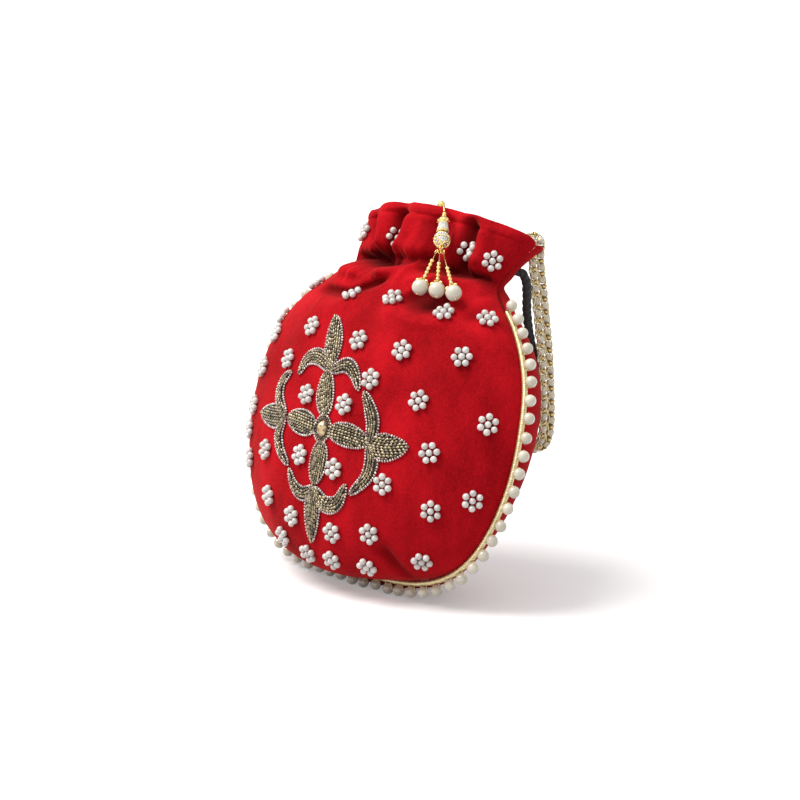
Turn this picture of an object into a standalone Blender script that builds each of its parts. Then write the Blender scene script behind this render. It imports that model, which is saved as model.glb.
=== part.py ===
"""Potli bag: a velvet drawstring pouch with a beaded front, a pearl edging and a hanging latkan.

The bag is worked out in a leaning frame, in millimetres: across, depth (the front is
negative) and height, measured from the middle of the seam. to_world tips that frame back
and sets the bag on the floor, with the origin under the flat of the back panel's bottom.
"""

import math

import bmesh
import bpy
from mathutils import Matrix, Vector
from mathutils.bvhtree import BVHTree

MM = 0.001

# Stance, mm and degrees
LEAN = math.radians(14.0)
CENTRE_BACK = -8.0

# Cloth, mm
VELVET = 1.2
SEAM_GAP = 0.3
CLEARANCE = 0.3
FACET_ROOM = 0.5  # for the facets of what is sewn on, over the folds of the cloth
LINING_CLOTH = 0.5
LINING_SHARE_ACROSS = 0.94
LINING_SHARE_DEPTH = 0.85
LINING_TOP = 12.4
LINING_BOTTOM = 0.6
LINING_FLOOR = 2.0

# Each station is a loop round the bag, from the bottom of the seam up to the rim, in mm.
# shift across; edge: half width, depth, height; front middle: depth, height; back middle: same
STATIONS = (
    (0.0, 0.0, 0.0, -79.2, -1.4, -79.8, 1.4, -79.4),
    (0.0, 30.0, 0.0, -78.6, -14.0, -83.0, 13.0, -87.5),
    (0.0, 51.0, 0.0, -75.8, -26.0, -79.0, 26.0, -86.5),
    (0.0, 68.6, 0.0, -69.0, -34.5, -68.5, 37.0, -82.5),
    (0.0, 82.4, 0.0, -57.2, -39.5, -54.5, 44.0, -70.0),
    (0.0, 92.3, 0.0, -39.5, -42.5, -37.0, 47.0, -50.0),
    (0.0, 98.3, 0.0, -18.0, -43.5, -16.5, 48.0, -26.0),
    (0.0, 99.3, 0.0, 5.0, -43.0, 4.5, 48.0, 0.0),
    (0.0, 96.3, 0.7, 26.5, -41.0, 25.5, 46.5, 25.0),
    (0.0, 89.0, 2.0, 43.0, -37.0, 44.0, 43.0, 43.5),
    (0.5, 77.8, 4.0, 56.6, -30.0, 59.0, 38.0, 57.5),
    (1.5, 65.0, 6.5, 66.8, -21.0, 71.5, 33.0, 68.5),
    (2.5, 55.0, 9.0, 76.5, -11.0, 84.0, 29.0, 78.5),
    (3.0, 55.5, 13.0, 85.5, -8.5, 93.0, 31.0, 87.0),
    (3.5, 58.5, 17.0, 93.5, -6.0, 103.0, 37.0, 96.0),
    (4.0, 62.0, 21.0, 101.0, -4.0, 113.5, 44.0, 104.5),
)
NECK = 12
RIM = len(STATIONS) - 1
RIM_DROP = 3.0  # how much lower the rim's right end is than its left, for each half width

# Folds pressed into the neck and the ruffle: place across, depth in mm, width
FRONT_FOLDS = ((-0.72, 3.0, 0.10), (-0.30, 5.0, 0.13), (0.33, 5.5, 0.14), (0.80, 2.5, 0.09))
BACK_FOLDS = ((-0.62, 4.0, 0.12), (-0.20, 4.5, 0.13), (0.22, 4.0, 0.12), (0.62, 4.5, 0.13))
FOLD_START = 9.3
PANEL_COLUMNS = 16
PANEL_ROWS = 20

# Seam trimmings, mm
BRAID_RADIUS = 1.35
EDGE_PEARL = 6.0
EDGE_PEARL_OUT = 4.4  # from the braid's middle to the pearls' middles
EDGE_PEARL_PITCH = 9.5
EDGE_THREAD = 0.75
TRIM_END = 10.75  # the station where the braid and the pearls stop, below the neck

# The seam's middle above the floor, which the lowest pearls of the edging just touch
CENTRE_HEIGHT = (
    (CLEARANCE + BRAID_RADIUS + EDGE_PEARL_OUT - STATIONS[0][3]) * math.cos(LEAN) + EDGE_PEARL / 2
)

# Flowers of seven pearls, mm: their places on the front as (across, height)
FLOWER_RADIUS = 5.8
FLOWER_PEARL = 3.8
FLOWER_HEIGHT = 3.4
DROP_REACH = 3.0
FLOWERS = (
    (-45, 96), (-16, 96), (41, 92), (54, 90),
    (-59, 64), (-10, 61), (19, 62), (53, 59), (70, 60),
    (-75, 44), (-68, 34), (-26, 41), (13, 38), (42, 37), (72, 39),
    (-39, 22), (-70, 15), (30, 20), (-13, 6), (17, 5), (59, 14), (91, 9),
    (-71, -6), (-73, -19), (70, -10), (-9, -25), (18, -28), (-43, -27), (-67, -34),
    (49, -30), (89, -29), (-36, -50), (73, -38), (-12, -57), (19, -60), (42, -56),
    (65, -64), (-24, -69), (-3, -74), (15, -74), (36, -73),
)

# Bead motif, mm, about its middle on the front
MOTIF_CENTRE = (2.5, -9.6)
PETAL = (6.5, 30.5, 6.4)  # where it starts, where it ends, half width
LEAF = (29.0, 57.5, 6.6)
CRESCENT_RING = 35.0
CRESCENT_WIDTH = 3.8
CRESCENT_SPAN = math.radians(39.0)
MOTIF_HEIGHT = 1.3
PAD_STEP = 0.13
STONE = (7.0, 8.4, 2.6)  # width, height, how far it stands out

# Latkan, mm in the leaning frame
LATKAN_TOP = (19.5, -4.6, 111.0)
LATKAN_BALL = (30.4, -10.4, 96.3)
LATKAN_RING = (32.6, -12.4, 90.8)
DROP_MIDDLE = (45.0, -21.0, 70.2)
DROP_SIDE = (0.94, 0.34, 0.0)  # the way from one drop pearl to the next
DROP_PITCH = 9.6
DROP_PEARL = 8.5
BALL = 9.0
# How far down from the rim, and the radius there, from the hook to the ball
LATKAN_CAPS = (
    (0.0, 0.0), (0.2, 0.9), (2.0, 1.0), (2.6, 1.3), (7.4, 3.0), (7.8, 2.1), (13.4, 3.1), (14.2, 3.3),
)
CROSS_BAR = 0.5
STRAND_BEAD = 2.5
STRAND_BEADS = 5
KNOT_BEAD = 4.4
KNOT_BEAD_PLACE = (15.0, 0.6, 115.0)

# Handle band, mm: width, thickness, and its route from the middle of the seam in world directions
BAND_WIDTH = 11.0
BAND_THICKNESS = 3.6
BAND_POINTS = 56
BAND_ROUTE = (
    # across, back, up, and how far the width turns from pointing back to lying across (0 to 1)
    (49.8, 35.6, 78.8, 0.0), (52.5, 41.0, 88.5, 0.0), (57.5, 49.6, 96.0, 0.0), (64.0, 52.2, 97.4, 0.0),
    (68.2, 52.2, 93.0, 0.0), (67.6, 51.6, 84.0, 0.0), (67.8, 52.2, 64.0, 0.0), (69.9, 52.0, 40.0, 0.0),
    (70.4, 51.4, 16.0, 0.0), (70.0, 51.3, -2.0, 0.0), (66.5, 51.0, -11.0, 0.0), (60.0, 51.5, -13.5, 0.1),
    (54.0, 52.5, -10.0, 0.3), (48.5, 54.0, -1.0, 0.6), (38.0, 56.0, 12.0, 1.0), (18.0, 58.0, 28.0, 1.0),
    (-6.0, 59.0, 45.0, 1.0), (-30.0, 58.5, 61.0, 1.0), (-50.0, 55.5, 75.0, 0.7), (-62.5, 50.5, 87.0, 0.3),
    (-66.0, 48.5, 97.0, 0.0), (-61.5, 49.0, 105.5, 0.0), (-53.5, 48.0, 105.0, 0.0), (-47.0, 42.0, 94.5, 0.0),
    (-43.0, 36.4, 79.2, 0.0),
)

# Drawstring, mm in the leaning frame, from the neck's right end down the back's shoulder
CORD_RADIUS = 2.2
CORD_POINTS = 24
CORD_ROUTE = (
    (58.2, 11.0, 78.6), (60.8, 11.4, 79.2), (63.8, 13.4, 81.2), (66.2, 17.0, 81.4), (67.2, 20.4, 77.4),
    (66.8, 24.0, 71.0), (65.8, 29.0, 63.5), (64.8, 34.2, 55.0), (64.0, 38.6, 45.5), (63.4, 41.8, 35.5),
    (63.0, 44.0, 27.0),
)
CORD_KNOT = 8.0

COLLECTION = "potli_bag"

VELVET_RED = (0.55, 0.01, 0.02)
LINING_RED = (0.35, 0.02, 0.03)
GOLD = (0.62, 0.48, 0.20)
OLD_GOLD = (0.30, 0.25, 0.15)
PEARL = (0.84, 0.80, 0.74)
AMBER = (0.42, 0.28, 0.09)
BLACK = (0.01, 0.01, 0.01)


def smooth(t):
    """A soft step from 0 to 1."""
    t = min(max(t, 0.0), 1.0)
    return t * t * (3.0 - 2.0 * t)


def through(rows, t):
    """The smooth curve through rows of numbers; t counts rows from 0."""
    last = len(rows) - 1
    i = min(max(int(t), 0), last - 1)
    t -= i
    near = [rows[min(max(i + k, 0), last)] for k in (-1, 0, 1, 2)]
    return [
        0.5 * (2 * b + (c - a) * t + (2 * a - 5 * b + 4 * c - d) * t**2 + (3 * b - a - 3 * c + d) * t**3)
        for a, b, c, d in zip(*near)
    ]


def to_world(point, floor=0.0):
    """A point of the leaning frame as a world point in metres, kept above the floor."""
    across, depth, height = point
    back = depth * math.cos(LEAN) + height * math.sin(LEAN) + CENTRE_BACK
    up = height * math.cos(LEAN) - depth * math.sin(LEAN) + CENTRE_HEIGHT
    return Vector((across, back, max(up, floor))) * MM


def fold_depth(s, across, folds):
    """How deep the gathers press into the cloth at a place, mm."""
    depth = sum(size * math.exp(-(((across - place) / width) ** 2)) for place, size, width in folds)
    return depth * smooth((s - FOLD_START) / (NECK - FOLD_START))


def panel_mm(face, s, a):
    """A panel's outer face in the leaning frame: s from the bottom to the rim, a from -1 to 1 across."""
    shift, half, edge_d, edge_h, front_d, front_h, back_d, back_h = through(STATIONS, s)
    across = math.sin(a * math.pi / 2)
    side = VELVET + SEAM_GAP / 2
    neck = smooth((s - 8.0) / 4.0)
    if face == "front":
        bulge = max(1.0 - abs(across) ** 2.1, 0.0) ** (0.64 - 0.14 * neck)
        d = edge_d - side + (front_d - edge_d + side) * bulge + fold_depth(s, across, FRONT_FOLDS) * bulge
        middle_h = front_h
    else:
        full = smooth((s - 3.0) / 5.0)
        bulge = max(1.0 - abs(across) ** (1.9 + 0.6 * full), 0.0) ** (0.85 - 0.4 * full)
        d = edge_d + side + (back_d - edge_d - side) * bulge - fold_depth(s, across, BACK_FOLDS) * bulge
        middle_h = back_h
    ruffle = smooth((s - NECK) / (RIM - NECK))
    rise = bulge ** (1.0 - 0.5 * ruffle)
    h = edge_h + (middle_h - edge_h) * rise - RIM_DROP * across * ruffle * rise
    return Vector((shift + half * across, d, h))


def seam_mm(s, side, out):
    """The seam line at a station, on the left (-1) or right (1), moved out from the cloth's edge."""
    before, after = through(STATIONS, max(s - 0.05, 0.0)), through(STATIONS, min(s + 0.05, RIM))
    here = through(STATIONS, s)
    run = Vector((after[1] - before[1], after[3] - before[3])).normalized()
    return Vector((here[0] + side * (here[1] + out * run.y), here[2], here[3] - out * run.x))


def seam_line(out):
    """Closely spaced points of the seam, from its right end, round the bottom, to its left end."""
    steps = 240
    stations = [TRIM_END * (i / steps) ** 1.5 for i in range(steps, -1, -1)]
    right = [seam_mm(s, 1, out) for s in stations]
    left = [Vector((-p.x + 2 * through(STATIONS, s)[0], p.y, p.z)) for p, s in zip(right, stations)]
    return right + left[-2::-1]


def along(points, count):
    """count points at even distances along a line of points."""
    total = [0.0]
    for a, b in zip(points, points[1:]):
        total.append(total[-1] + (b - a).length)
    found, k = [], 0
    for i in range(count):
        goal = total[-1] * i / (count - 1)
        while k < len(points) - 2 and total[k + 1] < goal:
            k += 1
        share = (goal - total[k]) / (total[k + 1] - total[k])
        found.append(points[k].lerp(points[k + 1], min(max(share, 0.0), 1.0)))
    return found, total[-1]


def front_place(cloth, across, height):
    """A point of the front's cloth at a place seen from the front, with its outward and rightward ways.

    cloth is the tree of the front panel's facets, so the point lies on them.
    """
    s, a = 7.0, 0.0
    for _ in range(30):
        here = panel_mm("front", s, a)
        by_s = (panel_mm("front", min(s + 0.01, RIM), a) - here) / 0.01
        by_a = (panel_mm("front", s, a + 0.01) - here) / 0.01
        miss_x, miss_h = across - here.x, height - here.z
        size = by_s.x * by_a.z - by_s.z * by_a.x
        s += max(min((miss_x * by_a.z - miss_h * by_a.x) / size, 0.8), -0.8)
        a += max(min((miss_h * by_s.x - miss_x * by_s.z) / size, 0.15), -0.15)
        s, a = min(max(s, 0.3), RIM - 0.05), min(max(a, -0.97), 0.97)
    here = to_world(panel_mm("front", s, a))
    by_s = to_world(panel_mm("front", s + 0.02, a)) - to_world(panel_mm("front", s - 0.02, a))
    by_a = to_world(panel_mm("front", s, a + 0.01)) - to_world(panel_mm("front", s, a - 0.01))
    out = by_a.cross(by_s).normalized()
    return dropped(cloth, here, out), out, by_a.normalized()


def dropped(cloth, point, out):
    """The point moved along out until it lies on the cloth, where that is near."""
    hit, _, _, _ = cloth.ray_cast(point + out * DROP_REACH * MM, -out, 2 * DROP_REACH * MM)
    return hit or point


def material(name, colour, roughness, metallic=0.0):
    made = bpy.data.materials.new(name)
    made.use_nodes = True
    shader = made.node_tree.nodes["Principled BSDF"]
    shader.inputs["Base Color"].default_value = (*colour, 1.0)
    shader.inputs["Roughness"].default_value = roughness
    shader.inputs["Metallic"].default_value = metallic
    return made


def add(name, mesh, look, smooth_faces=True):
    """A mesh as a named object of the bag's collection."""
    made = bpy.data.objects.new(name, mesh)
    bpy.data.collections[COLLECTION].objects.link(made)
    colour, roughness, metallic = look
    made.data.materials.append(material(name, colour, roughness, metallic))
    if smooth_faces:
        mesh.shade_smooth()
    return made


def face_out(closed):
    """Turns a closed body's faces outwards."""
    bmesh.ops.recalc_face_normals(closed, faces=closed.faces)
    if closed.calc_volume(signed=True) < 0:
        bmesh.ops.reverse_faces(closed, faces=closed.faces)


def shaped_grid(columns, rows, place, wrap=False):
    """A grid primitive whose points are moved to place(u, v), u and v from 0 to 1."""
    mesh = bpy.data.meshes.new("grid")
    grid = bmesh.new()
    bmesh.ops.create_grid(grid, x_segments=columns, y_segments=rows, size=1.0)
    for vert in grid.verts:
        vert.co = place((vert.co.x + 1) / 2, (vert.co.y + 1) / 2)
    bmesh.ops.remove_doubles(grid, verts=grid.verts, dist=0.00001)
    if wrap:
        bmesh.ops.holes_fill(grid, edges=[e for e in grid.edges if e.is_boundary], sides=0)
    face_out(grid)
    grid.to_mesh(mesh)
    grid.free()
    return mesh


def shaped_ball(segments, rings, place):
    """A UV sphere whose points are moved to place(angle round, share from pole to pole)."""
    mesh = bpy.data.meshes.new("ball")
    ball = bmesh.new()
    bmesh.ops.create_uvsphere(ball, u_segments=segments, v_segments=rings, radius=1.0)
    for vert in ball.verts:
        angle = math.atan2(vert.co.y, vert.co.x)
        share = math.acos(max(min(vert.co.z, 1.0), -1.0)) / math.pi
        vert.co = place(angle, share)
    face_out(ball)
    ball.to_mesh(mesh)
    ball.free()
    return mesh


def thicken(made, thickness):
    """Cloth of a real thickness, measured inwards from its outer face."""
    solid = made.modifiers.new("cloth", "SOLIDIFY")
    solid.thickness = thickness * MM
    solid.offset = -1.0
    solid.use_even_offset = False


def panel(name, face, look):
    """One velvet panel: body, gathered neck and ruffle in one piece of cloth."""
    side = 1 if face == "front" else -1

    def place(u, v):
        return to_world(panel_mm(face, v * RIM, side * (2 * u - 1)))

    mesh = shaped_grid(PANEL_COLUMNS, PANEL_ROWS, place)
    made = add(name, mesh, look)
    point_out(mesh, Vector((0, -1 if face == "front" else 1, 0)))
    thicken(made, VELVET)
    return made


def point_out(mesh, way):
    """Turns an open sheet so that most of it faces the way given."""
    if sum(face.normal.dot(way) * face.area for face in mesh.polygons) < 0:
        mesh.flip_normals()


def lining():
    """The inner bag: one loop of thin cloth inside both panels, open at the neck."""

    def place(u, v):
        s = LINING_BOTTOM + v * (LINING_TOP - LINING_BOTTOM)
        face, a = ("front", 4 * u - 1) if u < 0.5 else ("back", 3 - 4 * u)
        if u >= 1.0:
            face, a = "front", -1.0
        point = panel_mm(face, s, a)
        edge_d = through(STATIONS, s)[2]
        point.x *= LINING_SHARE_ACROSS
        point.y = edge_d + (point.y - edge_d) * LINING_SHARE_DEPTH
        point.z *= LINING_SHARE_ACROSS
        return to_world(point, LINING_FLOOR)

    mesh = shaped_grid(24, 9, place)
    cloth = bmesh.new()
    cloth.from_mesh(mesh)
    low = min(vert.co.z for vert in cloth.verts) + 0.03
    bottom = [e for e in cloth.edges if e.is_boundary and max(v.co.z for v in e.verts) < low]
    bmesh.ops.holes_fill(cloth, edges=bottom, sides=0)
    face_out(cloth)
    cloth.to_mesh(mesh)
    cloth.free()
    thicken(add("lining", mesh, (LINING_RED, 0.5, 0.0)), LINING_CLOTH)


def string(name, points, radii, look, sides=6):
    """A closed round string through points, with its own radius at each; all in metres."""
    def place(u, v):
        k = min(round(v * (len(points) - 1)), len(points) - 1)
        ahead = (points[min(k + 1, len(points) - 1)] - points[max(k - 1, 0)]).normalized()
        side = ahead.cross(Vector((0.13, 1.0, 0.07))).normalized()
        over = ahead.cross(side)
        turn = 2 * math.pi * u
        return points[k] + (side * math.cos(turn) + over * math.sin(turn)) * radii[k]

    return add(name, shaped_grid(sides, len(points) - 1, place, wrap=True), look)


def seam_trim():
    """The gold braid over the seam and the string of pearls outside it."""
    braid_out = CLEARANCE + BRAID_RADIUS
    line, _ = along([to_world(p) for p in seam_line(braid_out)], 56)
    string("seam_braid", line, [BRAID_RADIUS * MM] * len(line), (GOLD, 0.4, 0.8), sides=5)
    pearls = [to_world(p) for p in seam_line(braid_out + EDGE_PEARL_OUT)]
    _, length = along(pearls, 2)
    count = round(length / (EDGE_PEARL_PITCH * MM))
    steps = 3
    line, _ = along(pearls, count * steps + 1)
    inner = EDGE_PEARL / 2 * math.cos(math.radians(24))
    size = (EDGE_THREAD, inner, inner)
    radii = [size[i % steps] * MM for i in range(len(line))]
    shrink = [p.copy() for p in line]
    for i in range(0, len(line) - 1, steps):
        middle = (line[i + 1] + line[i + 2]) / 2
        half = (line[i + 2] - line[i + 1]).normalized() * EDGE_PEARL / 2 * math.sin(math.radians(38)) * MM
        shrink[i + 1], shrink[i + 2] = middle - half, middle + half
    string("pearl_edging", shrink, radii, (PEARL, 0.25, 0.0))


def flower(cloth, name, across, height):
    """Six pearls round a seventh, sewn on as one rosette that follows the cloth."""
    middle, out, right = front_place(cloth, across, height)
    up = out.cross(right)

    def place(angle, share):
        lobe = 0.5 + 0.5 * math.cos(6 * angle)
        ring = round(share * 3)
        middle_ring = FLOWER_RADIUS - FLOWER_PEARL / 2
        radius = (0.0, middle_ring - 0.6 * (1 - lobe), FLOWER_RADIUS - 1.9 * (1 - lobe), 0.0)[ring]
        rise = (FLOWER_HEIGHT, FLOWER_HEIGHT * (0.35 + 0.5 * lobe), 0.6, 0.0)[ring]
        flat = (right * math.cos(angle) + up * math.sin(angle)) * radius
        return dropped(cloth, middle + flat * MM, out) + out * (CLEARANCE + FACET_ROOM + rise) * MM

    add(name, shaped_ball(12, 3, place), (PEARL, 0.25, 0.0))


def spindle(cloth, path, half_width, lift):
    """A pad with two pointed ends that follows path(share) on the front: across, height, and its side.

    lift raises it a little, so that pads that meet don't share a face.
    """
    def place(angle, share):
        x, h, side_x, side_h = path(share)
        width = half_width * math.sin(math.pi * share) ** 0.7 * math.cos(angle)
        here, out, _ = front_place(cloth, x + side_x * width, h + side_h * width)
        rise = MOTIF_HEIGHT * (0.5 + 0.5 * math.sin(angle)) * math.sin(math.pi * share) ** 0.5
        return here + out * (CLEARANCE + lift + rise) * MM

    return shaped_ball(6, 6, place)


def arm_path(start, end, turn):
    """A straight run outwards from the motif's middle."""
    def path(share):
        r = start + (end - start) * share
        x, h = r * math.sin(turn), r * math.cos(turn)
        return MOTIF_CENTRE[0] + x, MOTIF_CENTRE[1] + h, math.cos(turn), -math.sin(turn)

    return path


def ring_path(turn, way):
    """A run along the motif's ring, from an arm's line to one side."""
    def path(share):
        at = turn + way * (share * CRESCENT_SPAN - math.radians(2.5))
        r = CRESCENT_RING - 2.5 * math.sin(math.pi * share)
        x, h = r * math.sin(at), r * math.cos(at)
        return MOTIF_CENTRE[0] + x, MOTIF_CENTRE[1] + h, math.sin(at), math.cos(at)

    return path


def joined(name, meshes, look):
    """Meshes that overlap, joined into one body."""
    first = add(name, meshes[0], look)
    cutters = bpy.data.collections["tools"]
    for mesh in meshes[1:]:
        other = bpy.data.objects.new(name + "_piece", mesh)
        cutters.objects.link(other)
        other.hide_render = True
        other.display_type = "WIRE"
        union = first.modifiers.new("join", "BOOLEAN")
        union.operation = "UNION"
        union.solver = "EXACT"
        union.object = other


def motif(cloth):
    """The bead ornament: four arms, each a petal, a leaf and a crescent on either side."""
    gold = (OLD_GOLD, 0.35, 0.7)
    for name, turn in (("top", 0.0), ("right", 90.0), ("bottom", 180.0), ("left", 270.0)):
        turn = math.radians(turn)
        runs = [(arm_path(start, end, turn), width) for start, end, width in (LEAF, PETAL)]
        runs += [(ring_path(turn, way), CRESCENT_WIDTH) for way in (-1, 1)]
        pieces = [spindle(cloth, path, width, PAD_STEP * (k + 1)) for k, (path, width) in enumerate(runs)]
        joined("motif_arm_" + name, pieces, gold)

    def place(angle, share):
        wide, tall, high = STONE
        ring = math.sin(math.pi * share)
        across = MOTIF_CENTRE[0] + wide / 2 * ring * math.cos(angle)
        height = MOTIF_CENTRE[1] + tall / 2 * ring * math.sin(angle)
        here, out, _ = front_place(cloth, across, height)
        return here + out * (CLEARANCE + high * (0.5 + 0.5 * math.cos(math.pi * share))) * MM

    add("centre_stone", shaped_ball(8, 5, place), (AMBER, 0.15, 0.3))


def turned(name, start, end, profile, look, steps=8):
    """A turned piece along the line from start to end; the profile is (distance, radius) in mm."""
    axis = (end - start).normalized()
    mesh = bpy.data.meshes.new(name)
    outline = bmesh.new()
    verts = [outline.verts.new((radius * MM, 0.0, -distance * MM)) for distance, radius in profile]
    for a, b in zip(verts, verts[1:]):
        outline.edges.new((a, b))
    outline.to_mesh(mesh)
    outline.free()
    made = add(name, mesh, look)
    made.matrix_world = Matrix.Translation(start) @ (-axis).to_track_quat("Z", "X").to_matrix().to_4x4()
    screw = made.modifiers.new("turn", "SCREW")
    screw.axis = "Z"
    screw.steps = screw.render_steps = steps
    screw.use_merge_vertices = True
    screw.merge_threshold = 0.00005
    screw.use_smooth_shade = True
    return made


def bead_profile(start, size, count):
    """Beads in a row, each with a narrow waist between it and the next."""
    points = []
    for i in range(count):
        low = start + i * size
        points += [(low, size * 0.28), (low + size / 2, size / 2)]
    return points + [(start + count * size, size * 0.28)]


def latkan():
    """The hanging ornament on the rim: a turned spindle and three strings with drop pearls."""
    side = Vector(DROP_SIDE).normalized()
    top, ball = to_world(LATKAN_TOP), to_world(LATKAN_BALL)
    reach = (ball - top).length / MM
    profile = list(LATKAN_CAPS)
    neck = BALL / 2 * math.sin(math.radians(40))
    profile.append((reach - BALL / 2 * math.cos(math.radians(40)), neck))
    profile += [
        (reach - BALL / 2 * math.cos(math.radians(turn)), BALL / 2 * math.sin(math.radians(turn)))
        for turn in (65, 90, 115, 140)
    ]
    ring = Vector(LATKAN_RING)
    bar = (to_world(ring) - ball).length / MM + reach
    profile += [(reach + BALL * 0.47, 1.0), (bar - 1.0, 0.8), (bar - 0.8, 0.0)]
    turned("latkan_spindle", top, ball, profile, (GOLD, 0.3, 0.9), steps=10)
    turned_bead("latkan_knot_bead", KNOT_BEAD_PLACE, KNOT_BEAD)
    for k, name in ((-1, "left"), (0, "middle"), (1, "right")):
        start = to_world(ring + side * 1.6 * k)
        drop = to_world(Vector(DROP_MIDDLE) + side * DROP_PITCH * k)
        length = (drop - start).length / MM
        beads_end = length - DROP_PEARL / 2 - 1.4
        beads = bead_profile(beads_end - STRAND_BEAD * STRAND_BEADS, STRAND_BEAD, STRAND_BEADS)
        strand = [(0.0, 0.0), (0.1, CROSS_BAR), (beads[0][0] - 0.4, CROSS_BAR)] + beads
        pearl_top = DROP_PEARL / 2 * math.cos(math.radians(38))
        strand += [(length - pearl_top, DROP_PEARL / 2 * math.sin(math.radians(38)) + 0.4)]
        strand += [
            (length - DROP_PEARL / 2 * math.cos(math.radians(turn)), DROP_PEARL / 2 * math.sin(math.radians(turn)))
            for turn in (66, 96, 124, 152, 180)
        ]
        turned("strand_" + name, start, drop, strand, (GOLD, 0.3, 0.9))


def turned_bead(name, place_mm, size):
    """A round bead at a place of the leaning frame."""
    centre = to_world(place_mm)

    def place(angle, share):
        r = size / 2 * MM
        ring = math.sin(math.pi * share)
        return centre + Vector((ring * math.cos(angle), ring * math.sin(angle), math.cos(math.pi * share))) * r

    add(name, shaped_ball(8, 6, place), (GOLD, 0.3, 0.9))


def handle_band():
    """The woven band of pearls and gold beads, over both ends of the mouth and down behind the bag."""
    rows = [through(BAND_ROUTE, (len(BAND_ROUTE) - 1) * i / 300) for i in range(301)]
    points = [Vector((x, y + CENTRE_BACK, z + CENTRE_HEIGHT)) * MM for x, y, z, _ in rows]
    even, _ = along(points, BAND_POINTS)
    flats = []
    for point in even:
        near = min(range(len(points)), key=lambda i: (points[i] - point).length)
        flats.append(min(max(rows[near][3], 0.0), 1.0))

    def place(u, v):
        k = min(round(v * (BAND_POINTS - 1)), BAND_POINTS - 1)
        ahead = (even[min(k + 1, BAND_POINTS - 1)] - even[max(k - 1, 0)]).normalized()
        back = Vector((0.0, 1.0, 0.0))
        level = ahead.cross(back)
        wide = back.lerp(-level.normalized(), flats[k])
        wide = (wide - ahead * wide.dot(ahead)).normalized()
        thin = ahead.cross(wide)
        corner = 2 * math.pi * u
        w = BAND_WIDTH / 2 * max(min(1.25 * math.cos(corner), 1.0), -1.0)
        t = BAND_THICKNESS / 2 * max(min(1.7 * math.sin(corner), 1.0), -1.0)
        return even[k] + (wide * w + thin * t) * MM

    add("handle_band", shaped_grid(8, BAND_POINTS - 1, place, wrap=True), (PEARL, 0.3, 0.2))


def drawstring():
    """The black cord out of the neck's right end, and the knot at its end."""
    rows = [Vector(through(CORD_ROUTE, (len(CORD_ROUTE) - 1) * i / 200)) for i in range(201)]
    line, _ = along([to_world(p) for p in rows], CORD_POINTS)
    string("drawstring", line, [CORD_RADIUS * MM] * CORD_POINTS, (BLACK, 0.8, 0.0))
    ahead = (line[-1] - line[-2]).normalized()
    centre = line[-1] + ahead * (CORD_KNOT / 2 + CLEARANCE) * MM

    def place(angle, share):
        ring = math.sin(math.pi * share)
        ball = Vector((ring * math.cos(angle), ring * math.sin(angle), math.cos(math.pi * share)))
        return centre + ball * CORD_KNOT / 2 * MM

    add("drawstring_knot", shaped_ball(8, 5, place), (BLACK, 0.8, 0.0))


def main():
    for old in list(bpy.data.objects):
        bpy.data.objects.remove(old, do_unlink=True)
    for name in (COLLECTION, "tools"):
        bpy.context.scene.collection.children.link(bpy.data.collections.new(name))
    velvet = (VELVET_RED, 0.85, 0.0)
    sheet = panel("front_panel", "front", velvet).data
    cloth = BVHTree.FromPolygons([v.co for v in sheet.vertices], [f.vertices for f in sheet.polygons])
    panel("back_panel", "back", velvet)
    lining()
    seam_trim()
    motif(cloth)
    for number, (across, height) in enumerate(FLOWERS, 1):
        flower(cloth, f"pearl_flower_{number:02d}", across, height)
    latkan()
    handle_band()
    drawstring()


main()
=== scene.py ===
"""Looks of the velvet potli bag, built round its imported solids.

Places are in the leaning frame of the bag, in millimetres: across, depth (the front is
negative) and height, measured from the middle of the seam. world() makes metres of them.
"""

import math
import random

import bpy
import numpy as np
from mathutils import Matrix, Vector
from mathutils.bvhtree import BVHTree

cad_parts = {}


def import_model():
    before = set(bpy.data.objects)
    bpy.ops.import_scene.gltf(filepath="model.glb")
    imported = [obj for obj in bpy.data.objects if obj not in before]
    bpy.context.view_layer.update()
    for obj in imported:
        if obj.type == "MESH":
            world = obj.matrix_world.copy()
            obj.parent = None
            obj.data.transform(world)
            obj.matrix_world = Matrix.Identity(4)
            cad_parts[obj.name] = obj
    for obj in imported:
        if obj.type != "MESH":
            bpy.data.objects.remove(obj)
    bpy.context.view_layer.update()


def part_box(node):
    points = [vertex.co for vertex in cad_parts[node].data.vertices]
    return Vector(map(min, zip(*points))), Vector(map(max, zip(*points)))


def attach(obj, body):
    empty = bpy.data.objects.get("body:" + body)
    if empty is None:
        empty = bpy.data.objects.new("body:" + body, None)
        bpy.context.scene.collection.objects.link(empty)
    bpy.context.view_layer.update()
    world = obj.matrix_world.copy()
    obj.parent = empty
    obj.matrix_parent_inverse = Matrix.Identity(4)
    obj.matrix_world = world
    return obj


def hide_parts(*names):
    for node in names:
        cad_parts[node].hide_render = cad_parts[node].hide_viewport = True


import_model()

MM = 0.001
LEAN = math.radians(14.0)
COS, SIN = math.cos(LEAN), math.sin(LEAN)
CENTRE_BACK = -8.0

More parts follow.
